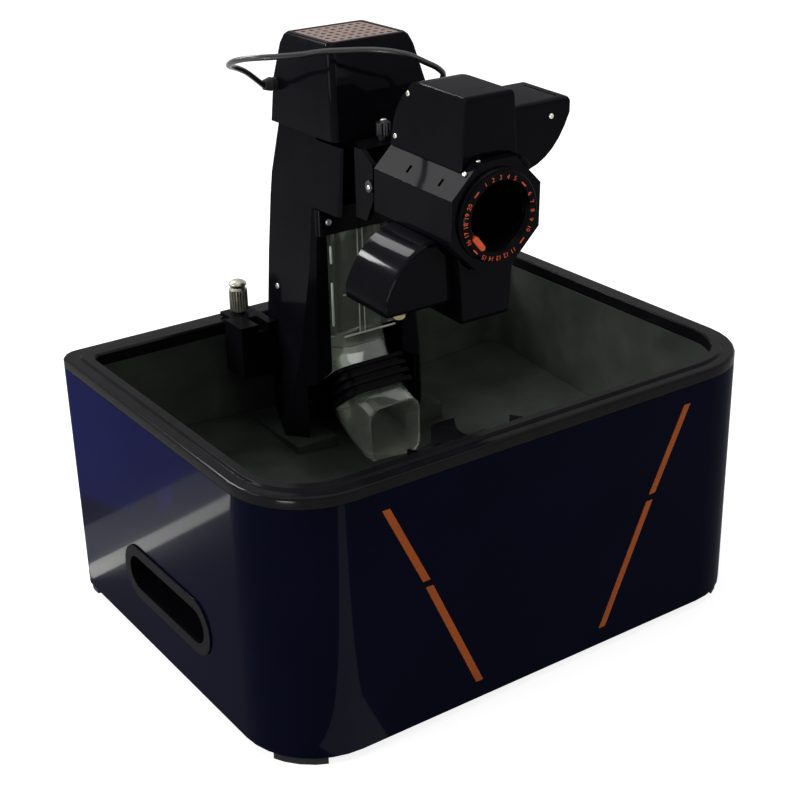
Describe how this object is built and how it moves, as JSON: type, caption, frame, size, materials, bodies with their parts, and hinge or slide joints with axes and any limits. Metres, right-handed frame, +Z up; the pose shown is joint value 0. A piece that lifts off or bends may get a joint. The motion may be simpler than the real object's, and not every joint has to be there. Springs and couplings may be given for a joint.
{
  "type": "table tennis robot",
  "caption": "Table tennis robot with an open ball hopper, a clear feed tube up a rear tower, and a swinging, tilting head that throws balls between two wheels.",
  "frame": {"origin": "centre of the bounding box at floor level, on the undersides of the four feet", "axes": "+Z up, +X to the right seen from the front, -Y the way the balls leave"},
  "size_m": [0.4024, 0.302, 0.4054],
  "materials": {
    "lacquered_shell": "high-gloss blue-black lacquer",
    "gloss_black": "glossy moulded black",
    "satin_black": "satin moulded black",
    "matt_black": "fine matt texture",
    "orange_inlay": "smooth satin",
    "clear_tube": "clear, slightly smoky, polished",
    "rubber_black": "matt",
    "lead_jacket": "smooth satin cable jacket",
    "tyre_foam": "matt, slightly rough",
    "nylon": "natural nylon",
    "board_green": "solder-mask green",
    "cream_rubber": "smooth",
    "nickel": "bright nickel plate",
    "steel": "drawn steel can",
    "aluminium": "machined"
  },
  "bodies": {
    "hopper": {"outer_skin": "lacquered_shell", "upper_stripe_left": "orange_inlay", "upper_stripe_right": "orange_inlay", "lower_stripe_left": "orange_inlay", "lower_stripe_right": "orange_inlay", "base_plate": "matt_black", "foot_front_left": "rubber_black", "foot_front_right": "rubber_black", "foot_rear_left": "rubber_black", "foot_rear_right": "rubber_black", "rim_frame": "gloss_black", "handle_cup_left": "gloss_black", "handle_cup_right": "gloss_black", "power_socket": "matt_black", "hopper_tub": "matt_black", "hopper_floor": "matt_black", "well_pan": "matt_black", "drive_gearmotor": "steel", "control_board": "board_green", "tube_bend": "clear_tube", "ball_tube": "clear_tube", "tube_collar": "satin_black", "tube_clamp": "satin_black", "tower_shell": "gloss_black", "top_housing": "gloss_black", "vent_grille": "satin_black", "feed_elbow": "satin_black", "swing_bush": "nylon", "swing_gearmotor": "steel", "accessory_block": "satin_black", "head_lead": "lead_jacket", "tower_gland": "rubber_black"},
    "pickup": {"pickup_disc": "satin_black", "disc_cap": "satin_black", "disc_shaft": "steel", "disc_gear": "nylon"},
    "pinion": {"drive_pinion": "nylon"},
    "swing": {"swing_yoke": "satin_black", "feed_throat": "satin_black", "tilt_pin_left": "nickel", "tilt_pin_right": "nickel", "yoke_gland": "rubber_black"},
    "tilt_clamp_screw": {"tilt_screw": "nickel"},
    "tilt": {"tilt_socket": "satin_black"},
    "head": {"barrel": "gloss_black", "barrel_liner": "satin_black", "nozzle_ring": "satin_black", "ring_pointer": "orange_inlay", "upper_wheel_housing": "gloss_black", "upper_motor_cover": "gloss_black", "upper_motor": "steel", "lower_wheel_housing": "gloss_black", "lower_motor_cover": "gloss_black", "lower_motor": "steel", "rubber_stop": "cream_rubber"},
    "upper_wheel": {"upper_wheel_hub": "aluminium", "upper_wheel_tyre": "tyre_foam"},
    "lower_wheel": {"lower_wheel_hub": "aluminium", "lower_wheel_tyre": "tyre_foam"},
    "block_screw": {"thumb_screw": "nickel"}
  },
  "joints": [
    {"name": "pickup_disc_spin", "type": "hinge", "parent": "hopper", "child": "pickup", "pos_m": [0.044, -0.04, 0.11], "axis": [0, 0, 1], "continuous": true},
    {"name": "pinion_spin", "type": "hinge", "parent": "hopper", "child": "pinion", "pos_m": [-0.0088, -0.04, 0.0836], "axis": [0, 0, 1], "continuous": true},
    {"name": "head_swing", "type": "hinge", "parent": "hopper", "child": "swing", "pos_m": [0, 0.04, 0.34], "axis": [0, 0, 1], "range_deg": [-14, 14], "deforming": ["head_lead"]},
    {"name": "tilt_screw_turn", "type": "hinge", "parent": "swing", "child": "tilt_clamp_screw", "pos_m": [-0.007, 0.015, 0.345], "axis": [0, 0, 1], "continuous": true},
    {"name": "head_tilt", "type": "hinge", "parent": "swing", "child": "tilt", "pos_m": [0, -0.007, 0.3182], "axis": [1, 0, 0], "range_deg": [-14, 12]},
    {"name": "head_roll", "type": "hinge", "parent": "tilt", "child": "head", "pos_m": [0, -0.007, 0.3182], "axis": [0, 0.9995, 0.0332], "range_deg": [-90, 90]},
    {"name": "upper_wheel_spin", "type": "hinge", "parent": "head", "child": "upper_wheel", "pos_m": [0, -0.05345, 0.36118], "axis": [1, 0, 0], "continuous": true},
    {"name": "lower_wheel_spin", "type": "hinge", "parent": "head", "child": "lower_wheel", "pos_m": [0, -0.0505, 0.27223], "axis": [1, 0, 0], "continuous": true},
    {"name": "thumb_screw_turn", "type": "hinge", "parent": "hopper", "child": "block_screw", "pos_m": [-0.0625, 0.131, 0.2], "axis": [0, 0, 1], "continuous": true}
  ],
  "couplings": [
    {"joint": "pinion_spin", "follows": "pickup_disc_spin", "ratio": -3}
  ]
}
